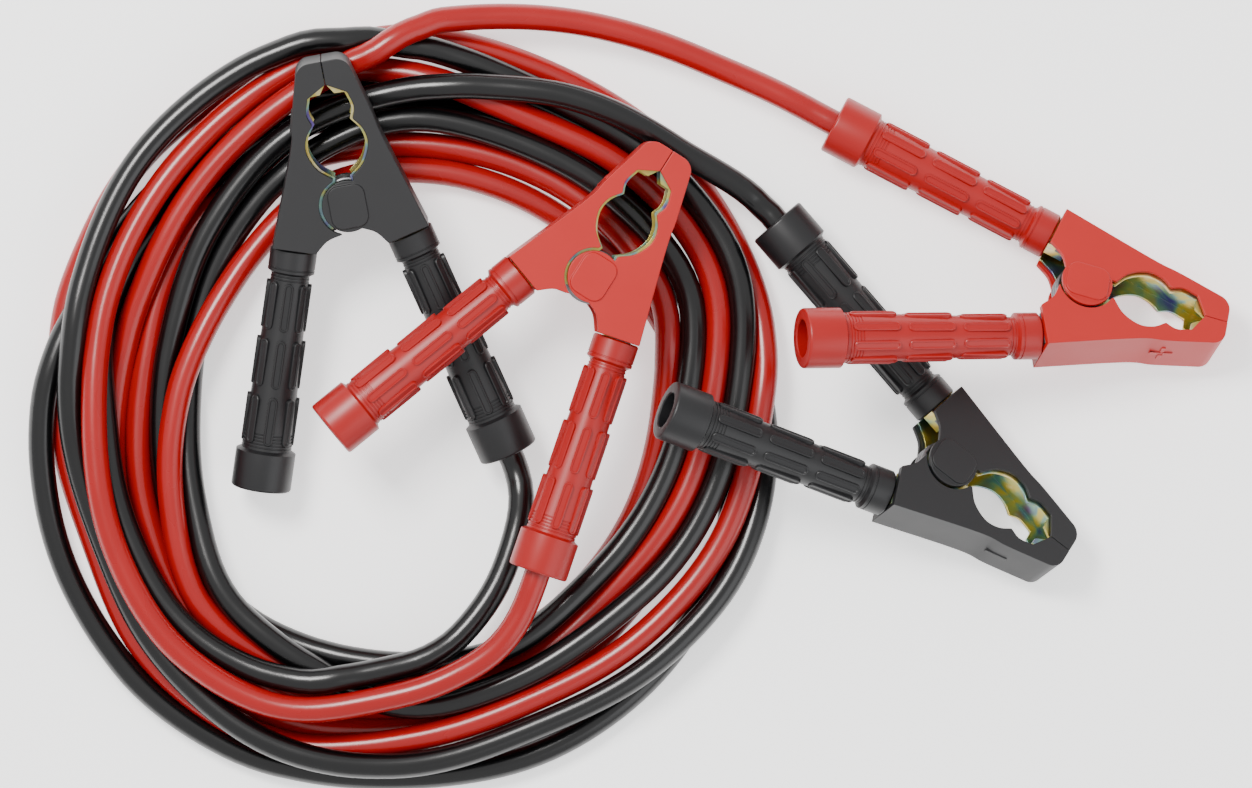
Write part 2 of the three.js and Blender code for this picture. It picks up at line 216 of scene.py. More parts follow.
class GripSizes(bpy.types.PropertyGroup):
    """Sizes of a handle's grip sleeve."""

    total: length("Length", "Length of the sleeve", 113)
    ring_length: length("Ring length", "Ring at the jaw end", 11)
    ring_radius: length("Ring radius", "Ring at the jaw end", 10.8)
    waist_radius: length("Waist radius", "Body behind the ring", 8.9)
    tail_radius: length("Tail radius", "Body in front of the collar", 11.6)
    collar_radius: length("Collar radius", "Collar at the tail", 13.8)
    collar_length: length("Collar length", "Collar at the tail", 17.6)
    bore: length("Bore", "Radius of the sleeve's bore", 8.4)
    slope: length("Slope", "Length of the slopes between ring, body and collar", 1.2)
    round: length("Rounding", "Rounding of the collar's end", 1.2)
    groove_depth: length("Groove depth", "Depth of the fine turned grooves", 0.3)
    groove_pitch: length("Groove pitch", "Distance between the fine grooves", 1.5)
    rows: IntProperty(name="Rows", description="Rows of ribs along the sleeve", default=3)
    around: IntProperty(name="Ribs around", description="Ribs in one row", default=8)
    first_row: length("First row", "Middle of the first row from the jaw end", 27)
    row_pitch: length("Row pitch", "Distance between rows", 26.6)
    rib_length: length("Rib length", "Length of one rib", 22.5)
    rib_width: length("Rib width", "Width of one rib", 4.4)
    rib_rise: length("Rib rise", "How far a rib stands up", 1.0)
    rib_dish: length("Rib dish", "How far the middle of a rib lies below its edge", 0.35)


class SpringSizes(bpy.types.PropertyGroup):
    """Sizes of a clamp's torsion spring."""

    wire: length("Wire", "Diameter of the wire", 2.4)
    radius: length("Radius", "Pivot to the middle of the wire", 11.6)
    turns: FloatProperty(name="Turns", description="Turns of wire", default=3.5)
    leg_x: length("Leg", "Where the legs bear on the tangs, behind the pivot", 16)
    leg_gap: length("Leg gap", "Between a leg and its tang", 0.7)


class Finishes(bpy.types.PropertyGroup):
    """Colours of the materials."""

    red_cover: colour("Red cover", "Moulded red covers", "#ac0a04")
    red_grip: colour("Red grip", "Moulded red grips", "#980402")
    black_cover: colour("Black cover", "Moulded black covers", "#161618")
    black_grip: colour("Black grip", "Moulded black grips", "#121214")
    red_cable: colour("Red cable", "Red sheath", "#960000")
    black_cable: colour("Black cable", "Black sheath", "#050506")
    chromate: colour("Chromate", "Yellow passivated zinc", "#c8b25c")
    spring: colour("Spring", "Drawn spring wire", "#8a8b8d")
    floor: colour("Floor", "Studio floor", "#fbfbfb")


class StageSizes(bpy.types.PropertyGroup):
    """Camera, floor and lights."""

    view_x: length("View X", "Middle of the view", -48)
    view_y: length("View Y", "Middle of the view", -35)
    view_width: length("View width", "Width of the view at the clamps", 576)
    view_height: length("View height", "Height of the clamps' middle over the floor", 20)
    lens: FloatProperty(name="Lens", description="Focal length in millimetres", default=300)
    floor: length("Floor", "Side of the floor", 6000)
    key: FloatProperty(name="Key light", description="Power of the key light", default=44, unit="POWER")
    fill: FloatProperty(name="Fill light", description="Power of the fill light", default=12, unit="POWER")
    sky: FloatProperty(name="Sky", description="Strength of the even light from all round", default=1.0)


class CableSet(bpy.types.PropertyGroup):
    """Everything about the set."""

    cable: PointerProperty(type=CableSizes)
    clamp: PointerProperty(type=ClampSizes)
    grip: PointerProperty(type=GripSizes)
    spring: PointerProperty(type=SpringSizes)
    finish: PointerProperty(type=Finishes)
    stage: PointerProperty(type=StageSizes)


# Outlines of a clamp half, in metres, drawn for the free half


def mm(points):
    """Points in millimetres as points in metres."""
    return [tuple(v * MM for v in p) for p in points]


def polar(radius, degrees, centre=(0.0, 0.0)):
    """A point on a circle."""
    a = math.radians(degrees)
    return (centre[0] + radius * math.cos(a), centre[1] + radius * math.sin(a))


def arc(centre, radius, start, end, steps):
    """Points along an arc, both ends included."""
    return [polar(radius, start + (end - start) * i / steps, centre) for i in range(steps + 1)]


def spline(points, per_span):
    """A Catmull-Rom curve through the points, of any dimension, both ends included."""
    given = np.array(points, float)
    ends = [2 * given[0] - given[1], 2 * given[-1] - given[-2]]
    padded = np.vstack([ends[0], given, ends[1]])
    made = []
    for i in range(len(given) - 1):
        p0, p1, p2, p3 = padded[i : i + 4]
        for t in np.arange(per_span) / per_span:
            made.append(
                0.5 * (2 * p1 + (p2 - p0) * t + (2 * p0 - 5 * p1 + 4 * p2 - p3) * t**2
                       + (3 * p1 - p0 - 3 * p2 + p3) * t**3)
            )
    made.append(given[-1])
    return [tuple(p) for p in made]


def handle_point(half, along, across):
    """A point along a handle's axis, away from the jaws, and outwards across it."""
    x, y, degrees = HANDLES[half]
    a = math.radians(degrees)
    return (
        x * MM - math.cos(a) * along + math.sin(a) * across,
        y * MM + math.sin(a) * along + math.cos(a) * across,
    )


def outer_edge(c, half, inset):
    """The outer edge from the closing line at the tip back to the neck, moved in by an inset."""
    centre = (c.tip - c.nose_radius, c.nose_half - c.nose_radius)
    bend = spline(
        [
            polar(c.nose_radius - inset, 70, centre),
            (c.mid_x + 0.012, c.mid_half - 0.0032 - inset),
            (c.mid_x - 0.002, c.mid_half - inset),
            handle_point(half, 0, c.neck_half - inset),
        ],
        6,
    )
    return [(c.tip - inset, c.fit / 2)] + arc(centre, c.nose_radius - inset, 0, 70, 10)[:-1] + bend


def jaw_edge(c, rim):
    """The inner edge of a jaw from the lobe to the closing line, moved into the mouth by a rim."""
    throat = spline(mm(THROAT + [THROAT_CUSP]), 7)
    mouth = spline(mm([THROAT_CUSP] + MOUTH), 6)[1:]
    return [(x, max(y - rim, c.fit / 2)) for x, y in throat + mouth]


def bite(c):
    """The teeth between the mouth and the tip."""
    start = c.bite_x - c.tooth_depth * c.teeth
    pitch = (c.tip - c.fit - c.wall - c.bite_x) / c.teeth
    points = [(start, c.fit / 2 + c.tooth_depth * 2)]
    for i in range(c.teeth):
        points.append((c.bite_x + pitch * i, c.fit / 2))
        points.append((c.bite_x + pitch * (i + 0.5), c.fit / 2 + c.tooth_depth))
    return points


def yoke(c, half, inset, end):
    """The arch between the two handles."""
    corner = handle_point(half, 0, inset - c.neck_half)
    middle = ((corner[0] + end[0]) / 2 + 1.5 * MM, (corner[1] + end[1]) / 2 + 0.5 * MM)
    return spline([corner, middle, end], 6)


def cover_outline(c, half):
    """The side of a moulded cover. The cable half carries the lobe over the pivot."""
    reach = c.lobe_radius + (0 if half == "cable" else c.lobe_fit)
    if half == "cable":
        lobe = arc((0, 0), reach, 158, 382, 36)
    else:
        lobe = arc((0, 0), reach, 158, 22, 22)
    return (
        outer_edge(c, half, 0)
        + yoke(c, half, 0, lobe[0])
        + lobe[1:]
        + jaw_edge(c, 0)
        + [(c.bite_x, c.fit / 2)]
    )


def steel_outline(c, half):
    """The side of a folded steel jaw, with its ear on the pivot."""
    inset = c.wall + c.fit
    ear = arc((0, 0), c.ear_radius, 150, 390, 30)
    back = outer_edge(c, half, inset) + yoke(c, half, inset, ear[0])
    return back + ear[1:] + jaw_edge(c, c.rim) + bite(c)


def hollow_outline(c, half, inset):
    """What is cut out of a half between its two sides: all but the web along its outer edge."""
    rear = handle_point(half, c.tang_length, c.neck_half - inset)
    return [(c.tip - inset, -c.tip)] + outer_edge(c, half, inset)[1:] + [rear, (rear[0], -c.tip)]


def steel_half(c, half):
    """Half the width of a steel channel: the free half's fits inside the cable half's."""
    fixed = c.thickness / 2 - c.wall - c.fit
    return fixed if half == "cable" else fixed - c.steel - c.fit


# Meshes


def prism(outline, half_width, side=1):
    """A closed mesh: an outline swept along z, mirrored to the other half where side is -1."""
    points = [(x, side * y) for x, y in outline]
    area = sum(a[0] * b[1] - b[0] * a[1] for a, b in zip(points, points[1:] + points[:1]))
    if area < 0:
        points.reverse()
    bm = bmesh.new()
    low = [bm.verts.new((x, y, -half_width)) for x, y in points]
    high = [bm.verts.new((x, y, half_width)) for x, y in points]
    bm.faces.new(reversed(low))
    bm.faces.new(high)
    for i in range(len(points)):
        j = (i + 1) % len(points)
        bm.faces.new((low[i], low[j], high[j], high[i]))
    mesh = bpy.data.meshes.new("prism")
    bm.to_mesh(mesh)
    bm.free()
    return mesh


def block(size, place):
    """A closed box mesh of that size, put in place by a matrix."""
    bm = bmesh.new()
    bmesh.ops.create_cube(bm, size=1, matrix=place @ Matrix.Diagonal((*size, 1)))
    mesh = bpy.data.meshes.new("block")
    bm.to_mesh(mesh)
    bm.free()
    return mesh


def lathe(profile, segments):
    """A closed mesh: a closed profile of (distance along, radius) turned about the x axis."""
    bm = bmesh.new()
    rings = []
    for i in range(segments):
        a = 2 * math.pi * i / segments
        rings.append([bm.verts.new((x, r * math.cos(a), r * math.sin(a))) for x, r in profile])
    for i in range(segments):
        here, there = rings[i], rings[(i + 1) % segments]
        for k in range(len(profile)):
            n = (k + 1) % len(profile)
            bm.faces.new((here[k], here[n], there[n], there[k]))
    bmesh.ops.recalc_face_normals(bm, faces=bm.faces)
    mesh = bpy.data.meshes.new("lathe")
    bm.to_mesh(mesh)
    bm.free()
    return mesh


def link(name, mesh):
    """A new object in the scene that holds the mesh."""
    made = bpy.data.objects.new(name, mesh)
    bpy.context.scene.collection.objects.link(made)
    return made


def joined(start, steps):
    """The mesh that is left after cutting, adding or keeping each (operation, mesh) in turn."""
    body = link("body", start)
    tools = []
    for operation, mesh in steps:
        tool = link("tool", mesh)
        tools.append(tool)
        cut = body.modifiers.new("cut", "BOOLEAN")
        cut.operation = operation
        cut.solver = "EXACT"
        cut.object = tool
    made = baked(body)
    for tool in tools:
        bpy.data.objects.remove(tool)
    return made


def baked(source):
    """The evaluated mesh of an object, whose object is then removed."""
    graph = bpy.context.evaluated_depsgraph_get()
    mesh = bpy.data.meshes.new_from_object(source.evaluated_get(graph), depsgraph=graph)
    bpy.data.objects.remove(source)
    if not mesh.polygons:
        raise RuntimeError("a piece came out empty")
    return mesh


def rounded(mesh, width, segments=3, sharpest=32):
    """The mesh with its sharp edges rounded and its flat faces shaded flat."""
    bm = bmesh.new()
    bm.from_mesh(mesh)
    bmesh.ops.remove_doubles(bm, verts=bm.verts, dist=1e-5)
    bmesh.ops.dissolve_degenerate(bm, edges=bm.edges, dist=1e-6)
    bm.to_mesh(mesh)
    bm.free()
    mesh.shade_smooth()
    body = link("body", mesh)
    bevel = body.modifiers.new("round", "BEVEL")
    bevel.width = width
    bevel.segments = segments
    bevel.limit_method = "ANGLE"
    bevel.angle_limit = math.radians(sharpest)
    bevel.harden_normals = True
    bevel.use_clamp_overlap = True
    bevel.miter_outer = "MITER_ARC"
    return baked(body)


def put(name, mesh, place, finish, body, replaced):
    """The finished piece: its place in its mesh, its material on it, riding on its body."""
    mesh.name = name
    mesh.transform(place)
    mesh.materials.clear()
    mesh.materials.append(finish)
    piece = link(name, mesh)
    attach(piece, body)
    if replaced:
        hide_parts(*replaced)
    return piece


def clamp_place(name):
    """The matrix that puts a clamp where the frame has its pivot."""
    _, heading, pitch, roll = CLAMPS[name]
    pivot = next(j["pos_m"] for j in frame["joints"] if j["name"] == f"{name}_clamp")
    turn = (
        Matrix.Rotation(math.radians(heading), 4, "Z")
        @ Matrix.Rotation(math.radians(-pitch), 4, "Y")
        @ Matrix.Rotation(math.radians(roll), 4, "X")
    )
    return Matrix.Translation(pivot) @ turn


def half_body(name, half):
    """The body that a clamp half rides on."""
    return BASE_BODY if half == "cable" else f"{name}_free_half"


def grip_place(half):
    """The matrix that lays a grip, turned about x, along its handle."""
    x, y, degrees = HANDLES[half]
    a = math.radians(degrees)
    side = SIDES[half]
    turn = math.atan2(side * math.sin(a), -math.cos(a))
    return Matrix.Translation((x * MM, side * y * MM, 0)) @ Matrix.Rotation(turn, 4, "Z")


# Materials


def add(tree, kind, links=(), **settings):
    """Adds a node with its settings, and its inputs set to values or linked to sockets."""
    node = tree.nodes.new(kind)
    for name, value in settings.items():
        setattr(node, name, value)
    for name, value in dict(links).items():
        if isinstance(value, bpy.types.NodeSocket):
            tree.links.new(value, node.inputs[name])
        else:
            node.inputs[name].default_value = value
    return node


def new_material(name):
    """An empty node material and its tree, surface shader and output."""
    made = bpy.data.materials.new(name)
    made.use_nodes = True
    tree = made.node_tree
    tree.nodes.clear()
    shader = add(tree, "ShaderNodeBsdfPrincipled")
    add(tree, "ShaderNodeOutputMaterial", {"Surface": shader.outputs["BSDF"]})
    return made, tree, shader


def shade(rgb, factor):
    """A colour made lighter or darker, as four numbers."""
    return (*[min(1.0, c * factor) for c in rgb], 1.0)


def moulded_plastic(name, rgb, roughness, grain_mm, grain_depth, mottle):
    """Injection-moulded plastic: one even colour, a satin sheen from the fine grain of the mould."""
    made, tree, shader = new_material(name)
    place = add(tree, "ShaderNodeTexCoord").outputs["Object"]
    cloud = add(tree, "ShaderNodeTexNoise", {"Vector": place, "Scale": 1 / (18 * MM), "Detail": 3.0})
    tint = add(
        tree,
        "ShaderNodeMix",
        {"Factor": cloud.outputs["Fac"], 6: shade(rgb, 1 - mottle), 7: shade(rgb, 1 + mottle)},
        data_type="RGBA",
    )
    tree.links.new(tint.outputs[2], shader.inputs["Base Color"])
    grain = add(tree, "ShaderNodeTexNoise", {"Vector": place, "Scale": 1 / (grain_mm * MM), "Detail": 4.0})
    gloss = add(
        tree,
        "ShaderNodeMapRange",
        {"Value": cloud.outputs["Fac"], "To Min": roughness - 0.05, "To Max": roughness + 0.05},
    )
    tree.links.new(gloss.outputs["Result"], shader.inputs["Roughness"])
    bump = add(
        tree,
        "ShaderNodeBump",
        {"Height": grain.outputs["Fac"], "Strength": 0.35, "Distance": grain_depth * MM},
    )
    tree.links.new(bump.outputs["Normal"], shader.inputs["Normal"])
    shader.inputs["IOR"].default_value = 1.5
    return made


def extruded_sheath(name, rgb, roughness):
    """Extruded PVC sheath: glossy, with faint lines along the cable and a slight unevenness of gloss."""
    made, tree, shader = new_material(name)
    unrolled = add(tree, "ShaderNodeUVMap", uv_map="UVMap").outputs["UV"]
    draw = add(
        tree,
        "ShaderNodeMapping",
        {"Vector": unrolled, "Scale": (1 / (60 * MM), 1 / (0.8 * MM), 1.0)},
    )
    lines = add(tree, "ShaderNodeTexNoise", {"Vector": draw.outputs["Vector"], "Scale": 1.0, "Detail": 3.0})
    wave = add(
        tree,
        "ShaderNodeMapping",
        {"Vector": unrolled, "Scale": (1 / (35 * MM), 1 / (9 * MM), 1.0)},
    )
    cloud = add(tree, "ShaderNodeTexNoise", {"Vector": wave.outputs["Vector"], "Scale": 1.0, "Detail": 2.0})
    tint = add(
        tree,
        "ShaderNodeMix",
        {"Factor": cloud.outputs["Fac"], 6: shade(rgb, 0.9), 7: shade(rgb, 1.1)},
        data_type="RGBA",
    )
    tree.links.new(tint.outputs[2], shader.inputs["Base Color"])
    gloss = add(
        tree,
        "ShaderNodeMapRange",
        {"Value": cloud.outputs["Fac"], "To Min": roughness - 0.06, "To Max": roughness + 0.06},
    )
    tree.links.new(gloss.outputs["Result"], shader.inputs["Roughness"])
    bump = add(
        tree,
        "ShaderNodeBump",
        {"Height": lines.outputs["Fac"], "Strength": 0.25, "Distance": 0.12 * MM},
    )
    tree.links.new(bump.outputs["Normal"], shader.inputs["Normal"])
    shader.inputs["IOR"].default_value = 1.53
    return made


def passivated_zinc(name, rgb):
    """Yellow-passivated zinc on pressed sheet: gold, with green and violet where the film thins."""
    made, tree, shader = new_material(name)
    place = add(tree, "ShaderNodeTexCoord").outputs["Object"]
    film = add(
        tree,
        "ShaderNodeTexNoise",
        {"Vector": place, "Scale": 1 / (14 * MM), "Detail": 2.0, "Distortion": 0.6},
    )
    ramp = add(tree, "ShaderNodeValToRGB", {"Fac": film.outputs["Fac"]})
    stops = [
        (0.30, linear("#6d5a9a")),
        (0.40, linear("#7fa79a")),
        (0.48, linear("#b9b56a")),
        (0.56, rgb),
        (0.68, linear("#d9cf9a")),
        (0.78, linear("#9a8fb4")),
    ]
    while len(ramp.color_ramp.elements) < len(stops):
        ramp.color_ramp.elements.new(0.5)
    for element, (position, tone) in zip(ramp.color_ramp.elements, stops):
        element.position = position
        element.color = (*tone, 1.0)
    tree.links.new(ramp.outputs["Color"], shader.inputs["Base Color"])
    pits = add(tree, "ShaderNodeTexNoise", {"Vector": place, "Scale": 1 / (0.7 * MM), "Detail": 3.0})
    gloss = add(tree, "ShaderNodeMapRange", {"Value": pits.outputs["Fac"], "To Min": 0.22, "To Max": 0.42})
    tree.links.new(gloss.outputs["Result"], shader.inputs["Roughness"])
    bump = add(
        tree,
        "ShaderNodeBump",
        {"Height": pits.outputs["Fac"], "Strength": 0.3, "Distance": 0.08 * MM},
    )
    tree.links.new(bump.outputs["Normal"], shader.inputs["Normal"])
    shader.inputs["Metallic"].default_value = 1.0
    return made


def drawn_wire(name, rgb):
    """Drawn spring steel wire: grey, oiled, with a soft metallic shine."""
    made, tree, shader = new_material(name)
    place = add(tree, "ShaderNodeTexCoord").outputs["Object"]
    marks = add(tree, "ShaderNodeTexNoise", {"Vector": place, "Scale": 1 / (1.5 * MM), "Detail": 4.0})
    tint = add(
        tree,
        "ShaderNodeMix",
        {"Factor": marks.outputs["Fac"], 6: shade(rgb, 0.8), 7: shade(rgb, 1.15)},
        data_type="RGBA",
    )
    tree.links.new(tint.outputs[2], shader.inputs["Base Color"])
    gloss = add(tree, "ShaderNodeMapRange", {"Value": marks.outputs["Fac"], "To Min": 0.3, "To Max": 0.5})
    tree.links.new(gloss.outputs["Result"], shader.inputs["Roughness"])
    shader.inputs["Metallic"].default_value = 1.0
    return made


def opal_acrylic(name, rgb):
    """White opal acrylic of the studio floor, matt on top and softly lit from below."""
    made, tree, shader = new_material(name)
    shader.inputs["Base Color"].default_value = (*rgb, 1.0)
    shader.inputs["Roughness"].default_value = 0.9
    shader.inputs["Emission Color"].default_value = (1.0, 1.0, 1.0, 1.0)
    shader.inputs["Emission Strength"].default_value = 0.9
    return made


MAKERS = {
    "red_cover": lambda f: moulded_plastic("red_cover_moulded_pp", f.red_cover, 0.45, 0.5, 0.05, 0.03),
    "red_grip": lambda f: moulded_plastic("red_grip_moulded_pvc", f.red_grip, 0.38, 0.5, 0.04, 0.05),
    "black_cover": lambda f: moulded_plastic("black_cover_moulded_pp", f.black_cover, 0.5, 0.5, 0.06, 0.06),
    "black_grip": lambda f: moulded_plastic("black_grip_moulded_pvc", f.black_grip, 0.42, 0.5, 0.05, 0.08),
    "red_cable": lambda f: extruded_sheath("red_cable_extruded_pvc", f.red_cable, 0.27),
    "black_cable": lambda f: extruded_sheath("black_cable_extruded_pvc", f.black_cable, 0.25),
    "jaw_steel": lambda f: passivated_zinc("jaw_steel_yellow_zinc", f.chromate),
    "spring_steel": lambda f: drawn_wire("spring_drawn_wire", f.spring),
    "floor": lambda f: opal_acrylic("studio_floor_opal_acrylic", f.floor),
}
made_finishes = {}


def finish(key):
    """The material of that key, made when it is first asked for."""
    if key not in made_finishes:
        made_finishes[key] = MAKERS[key](bpy.context.scene.cable_set.finish)
    return made_finishes[key]


# Node trees


def new_tree(name, inputs):
    """An empty geometry tree with named inputs after its geometry, and its two end nodes."""
    tree = bpy.data.node_groups.new(name, "GeometryNodeTree")
    tree.interface.new_socket("Geometry", in_out="INPUT", socket_type="NodeSocketGeometry")
    for title, kind in inputs:
        tree.interface.new_socket(title, in_out="INPUT", socket_type=f"NodeSocket{kind}")
    tree.interface.new_socket("Geometry", in_out="OUTPUT", socket_type="NodeSocketGeometry")
    return tree, add(tree, "NodeGroupInput").outputs, tree.nodes.new("NodeGroupOutput")


def finish_tree(tree, output, geometry, material):
    """Ends a tree: instances are made real, then everything gets the material."""
    real = add(tree, "GeometryNodeRealizeInstances", {"Geometry": geometry})
    wanted = {"Geometry": real.outputs["Geometry"], "Material": material}
    coated = add(tree, "GeometryNodeSetMaterial", wanted)
    tree.links.new(coated.outputs["Geometry"], output.inputs["Geometry"])


def rib_tree():
    """Rows of ribs round a tapering sleeve that lies along x."""
    tree, given, output = new_tree(
        "Ribs round a grip",
        [
            ("Rib", "Object"),
            ("Rows", "Int"),
            ("Ribs Around", "Int"),
            ("First Row", "Float"),
            ("Row Pitch", "Float"),
            ("Body Start", "Float"),
            ("Body End", "Float"),
            ("Waist Radius", "Float"),
            ("Tail Radius", "Float"),
            ("Material", "Material"),
        ],
    )
    index = add(tree, "GeometryNodeInputIndex").outputs["Index"]
    math_node = "ShaderNodeMath"
    turned = add(tree, math_node, {0: index, 1: given["Ribs Around"]}, operation="DIVIDE")
    row = add(tree, math_node, {0: turned.outputs[0]}, operation="FLOOR")
    places = {0: row.outputs[0], 1: given["Row Pitch"], 2: given["First Row"]}
    along = add(tree, math_node, places, operation="MULTIPLY_ADD").outputs[0]
    share = add(tree, math_node, {0: 2 * math.pi, 1: given["Ribs Around"]}, operation="DIVIDE")
    number = add(tree, math_node, {0: index, 1: given["Ribs Around"]}, operation="MODULO")
    angles = {0: number.outputs[0], 1: share.outputs[0]}
    angle = add(tree, math_node, angles, operation="MULTIPLY").outputs[0]
    radius = add(
        tree,
        "ShaderNodeMapRange",
        {
            "Value": along,
            "From Min": given["Body Start"],
            "From Max": given["Body End"],
            "To Min": given["Waist Radius"],
            "To Max": given["Tail Radius"],
        },
    ).outputs["Result"]
    cosine = add(tree, math_node, {0: angle}, operation="COSINE")
    sine = add(tree, math_node, {0: angle}, operation="SINE")
    across = add(tree, math_node, {0: radius, 1: cosine.outputs[0]}, operation="MULTIPLY")
    up = add(tree, math_node, {0: radius, 1: sine.outputs[0]}, operation="MULTIPLY")
    place = add(tree, "ShaderNodeCombineXYZ", {"X": along, "Y": across.outputs[0], "Z": up.outputs[0]})
    ribs_in_all = {0: given["Rows"], 1: given["Ribs Around"]}
    count = add(tree, math_node, ribs_in_all, operation="MULTIPLY").outputs[0]
    points = add(tree, "GeometryNodePoints", {"Count": count, "Position": place.outputs["Vector"]})
    upright = add(tree, math_node, {0: angle, 1: math.pi / 2}, operation="SUBTRACT")
    euler = add(tree, "ShaderNodeCombineXYZ", {"X": upright.outputs[0]})
    turn = add(tree, "FunctionNodeEulerToRotation", {"Euler": euler.outputs["Vector"]})
    rib = add(tree, "GeometryNodeObjectInfo", {"Object": given["Rib"]})
    ribs = add(
        tree,
        "GeometryNodeInstanceOnPoints",
        {
            "Points": points.outputs["Points"],
            "Instance": rib.outputs["Geometry"],
            "Rotation": turn.outputs["Rotation"],
        },
    )
    both = add(tree, "GeometryNodeJoinGeometry")
    tree.links.new(given["Geometry"], both.inputs["Geometry"])
    tree.links.new(ribs.outputs["Instances"], both.inputs["Geometry"])
    finish_tree(tree, output, both.outputs["Geometry"], given["Material"])
    return tree


def wire_tree():
    """A round wire along a path of edges, closed at both ends."""
    tree, given, output = new_tree(
        "Wire along a path",
        [("Wire Radius", "Float"), ("Sides", "Int"), ("Material", "Material")],
    )
    path = add(tree, "GeometryNodeMeshToCurve", {"Mesh": given["Geometry"]})
    ring = add(
        tree,
        "GeometryNodeCurvePrimitiveCircle",
        {"Resolution": given["Sides"], "Radius": given["Wire Radius"]},
    )
    wire = add(
        tree,
        "GeometryNodeCurveToMesh",
        {"Curve": path.outputs["Curve"], "Profile Curve": ring.outputs["Curve"], "Fill Caps": True},
    )
    smooth = add(tree, "GeometryNodeSetShadeSmooth", {"Geometry": wire.outputs["Mesh"]})
    finish_tree(tree, output, smooth.outputs["Geometry"], given["Material"])
    return tree


def grown(mesh, tree, inputs):
    """The plain mesh that a geometry tree makes from a mesh, with its inputs set by name."""
    source = link("source", mesh)
    modifier = source.modifiers.new("grow", "NODES")
    modifier.node_group = tree
    for item in tree.interface.items_tree:
        if item.in_out == "INPUT" and item.name in inputs:
            modifier[item.identifier] = inputs[item.name]
    source.update_tag()
    return baked(source)


# Cables


def station_points(turns):
    """The points of a cable's turns about the coil's middle, in metres, with their heights."""
    points = []
    for first, radii, under in turns:
        for i, (radius, count) in enumerate(zip(radii, under)):
            a = 2 * math.pi * (first + i) / STATIONS
            r = radius * READING_UNIT
            spot = COIL_CENTRE + LAYOUT_SHIFT + Vector((r * math.cos(a), r * math.sin(a), 0))
            points.append((spot.x * MM, spot.y * MM, count))
    return points


def lead_points(name, cable, grip):
    """The points of an uncoiled stretch, from inside the grip's collar to the coil."""
    place = clamp_place(name)
    inside = []
    for along in (grip.total - cable.entry, grip.total, grip.total + cable.diameter / 2):
        px, py = handle_point("cable", along, 0)
        inside.append(tuple(place @ Vector((px, -py, 0))))
    return inside, [tuple((Vector(p) + LAYOUT_SHIFT) * MM) for p in LEADS[name]]


def evenly(points, step):
    """The same line with points a step apart."""
    line = np.array(points, float)
    along = np.concatenate([[0], np.cumsum(np.linalg.norm(np.diff(line[:, :3], axis=0), axis=1))])
    count = int(round(along[-1] / step)) + 1
    spots = np.linspace(0, along[-1], count)
    return np.stack([np.interp(spots, along, line[:, k]) for k in range(line.shape[1])], axis=1)


def cable_route(right, left, turns, cable, grip):
    """A cable's route before it settles: x, y, z and how many cables lie under it, for even steps."""
    start, out = lead_points(right, cable, grip)
    end, back = lead_points(left, cable, grip)
    pitch = cable.diameter * LEVEL_PITCH
    wound = [(x, y, cable.diameter / 2 + count * pitch, count) for x, y, count in station_points(turns)]
    uncoiled = [(x, y, z, LEAD_LEVEL) for x, y, z in start + out]
    landed = [(x, y, z, LEAD_LEVEL) for x, y, z in back[::-1] + end[::-1]]
    line = evenly(spline(uncoiled + wound + landed, 12), cable.step)
    held = int(math.ceil((cable.entry + cable.diameter / 2) / cable.step)) + 1
    return line, held


def near_pairs(line, owner, reach, skip):
    """Pairs of points that may touch: on different cables, or far apart along the same one."""
    gap = line[:, None, :] - line[None, :, :]
    close = np.einsum("ijk,ijk->ij", gap, gap) < reach * reach
    number = np.arange(len(line))
    apart = (owner[:, None] != owner[None, :]) | (np.abs(number[:, None] - number[None, :]) > skip)
    return np.nonzero(np.triu(close & apart, 1))


def laid(line, owner, under, held, cable):
    """The heights that the cables take when each lies on those that pass under it."""
    radius, diameter = cable.diameter / 2, cable.diameter
    first, second = near_pairs(line[:, :2], owner, diameter * OVERLAP_REACH, SAME_CABLE_SKIP)
    swap = under[first] > under[second]
    low, high = np.where(swap, second, first), np.where(swap, first, second)
    distinct = under[high] - under[low] > LEVEL_GAP
    low, high = low[distinct], high[distinct]
    across = np.linalg.norm(line[high, :2] - line[low, :2], axis=1)
    rise = np.sqrt(np.maximum(diameter**2 - across**2, 0))
    height = np.where(held, line[:, 2], radius)
    for _ in range(LAY_ROUNDS):
        np.maximum.at(height, high, height[low] + rise)
        height = np.where(held, line[:, 2], height)
    inner = owner[2:] == owner[:-2]
    for _ in range(EASE_ROUNDS):
        eased = (height[:-2] + 2 * height[1:-1] + height[2:]) / 4
        height[1:-1] = np.where(inner & ~held[1:-1], eased, height[1:-1])
    return height


